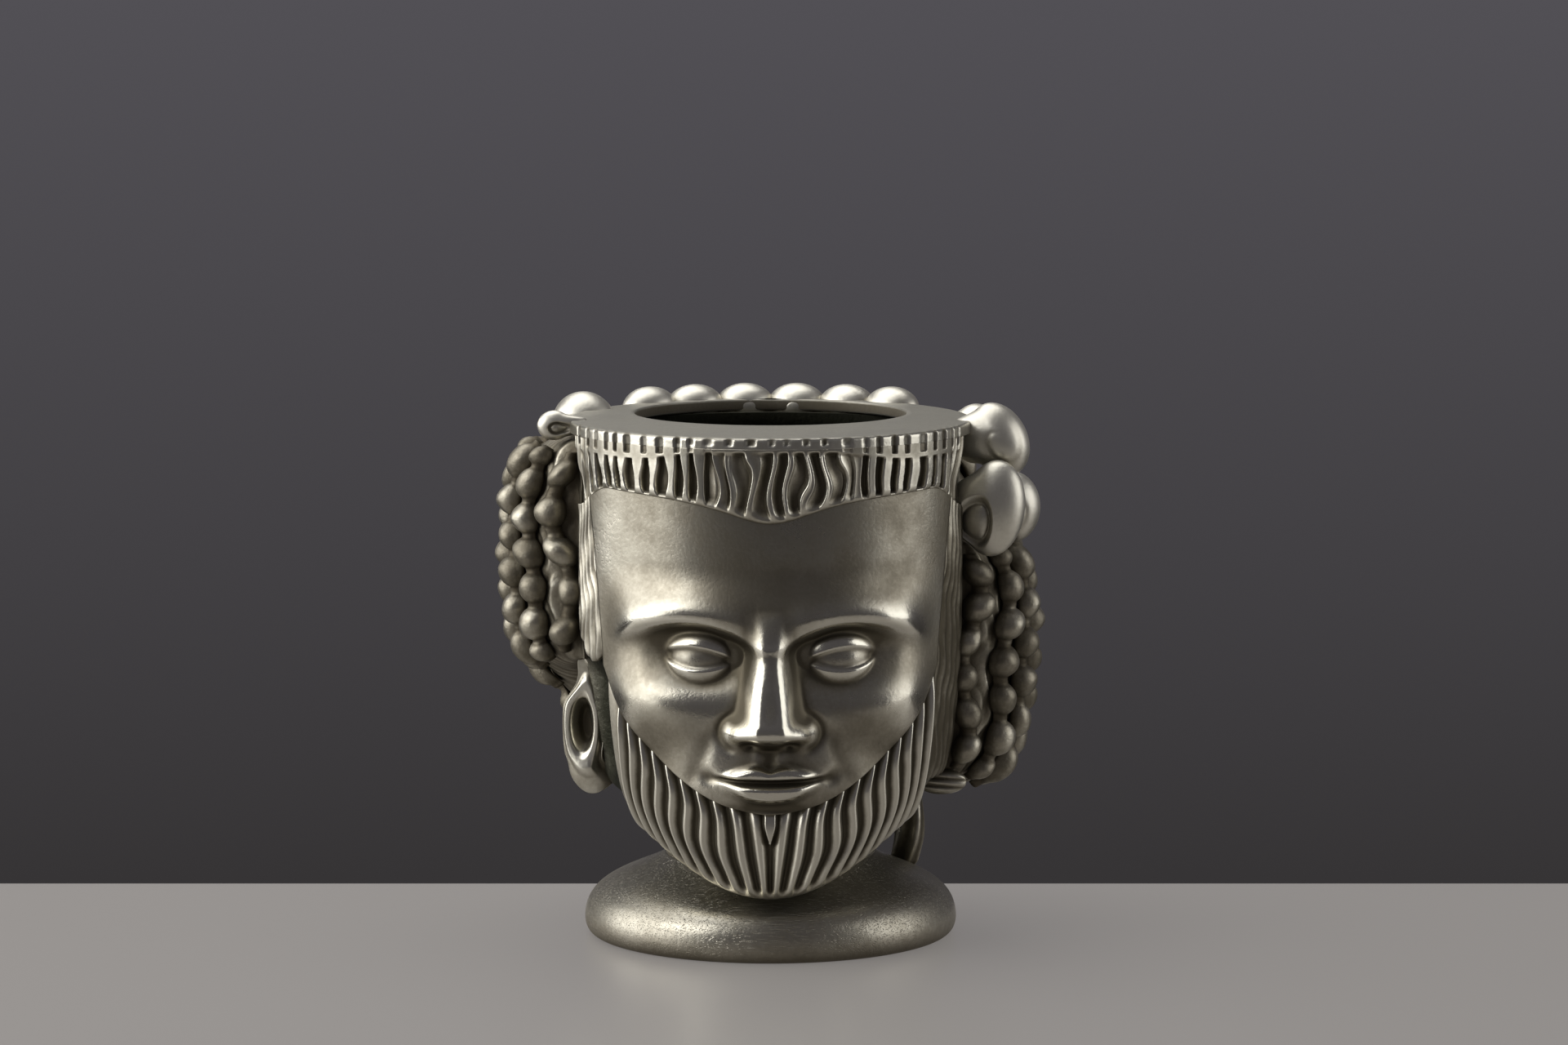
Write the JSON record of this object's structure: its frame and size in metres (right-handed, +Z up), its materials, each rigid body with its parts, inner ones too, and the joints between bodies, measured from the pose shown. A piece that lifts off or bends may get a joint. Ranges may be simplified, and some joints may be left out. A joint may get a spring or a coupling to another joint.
{
  "type": "head vase",
  "caption": "Cast pewter vase in the shape of a bearded head with beaded hair, a flat rim round an open crown, a neck and a round domed foot.",
  "frame": {"origin": "middle of the foot's underside, on the surface the vase stands on", "axes": "+Z up, the face looks along -Y, +X is the viewer's right"},
  "size_m": [0.1624, 0.1469, 0.1587],
  "materials": {
    "pewter": "cast pewter, polished on the high places, with a dark patina in the hollows",
    "dark_pewter": "as-cast pewter, dark and rough, inside the vessel and under the foot"
  },
  "bodies": {
    "root": {"head_shell": "dark_pewter", "rim_plate": "pewter", "neck": "pewter", "foot": "pewter", "base_plate": "dark_pewter", "fringe": "pewter", "face_mask": "pewter", "beard": "pewter", "temple_lock_left": "pewter", "temple_lock_right": "pewter", "hair_pad_left": "pewter", "hair_pad_right": "pewter", "hair_pad_back": "pewter", "strand_left_1": "pewter", "strand_left_2": "pewter", "strand_left_3": "pewter", "strand_left_4": "pewter", "strand_left_5": "pewter", "strand_left_6": "pewter", "strand_left_7": "pewter", "strand_left_8": "pewter", "strand_right_1": "pewter", "strand_right_2": "pewter", "strand_right_3": "pewter", "strand_right_4": "pewter", "strand_right_5": "pewter", "strand_right_6": "pewter", "strand_right_7": "pewter", "strand_right_8": "pewter", "strand_back_1": "pewter", "strand_back_2": "pewter", "strand_back_3": "pewter", "strand_back_4": "pewter", "strand_back_5": "pewter", "strand_back_6": "pewter", "strand_back_7": "pewter", "strand_back_8": "pewter", "back_curl_1": "pewter", "back_curl_2": "pewter", "back_curl_3": "pewter", "back_curl_4": "pewter", "back_curl_5": "pewter", "back_curl_6": "pewter", "volute_right_top": "pewter", "volute_right_front": "pewter", "volute_right_rear": "pewter", "volute_right_back": "pewter", "volute_left_top": "pewter", "curl_left_front": "pewter", "ear_left": "pewter", "ear_lobe_right": "pewter", "nape_lock_right": "pewter", "nape_lock_centre_right": "pewter", "nape_lock_centre": "pewter", "nape_lock_left": "pewter"}
  },
  "joints": []
}
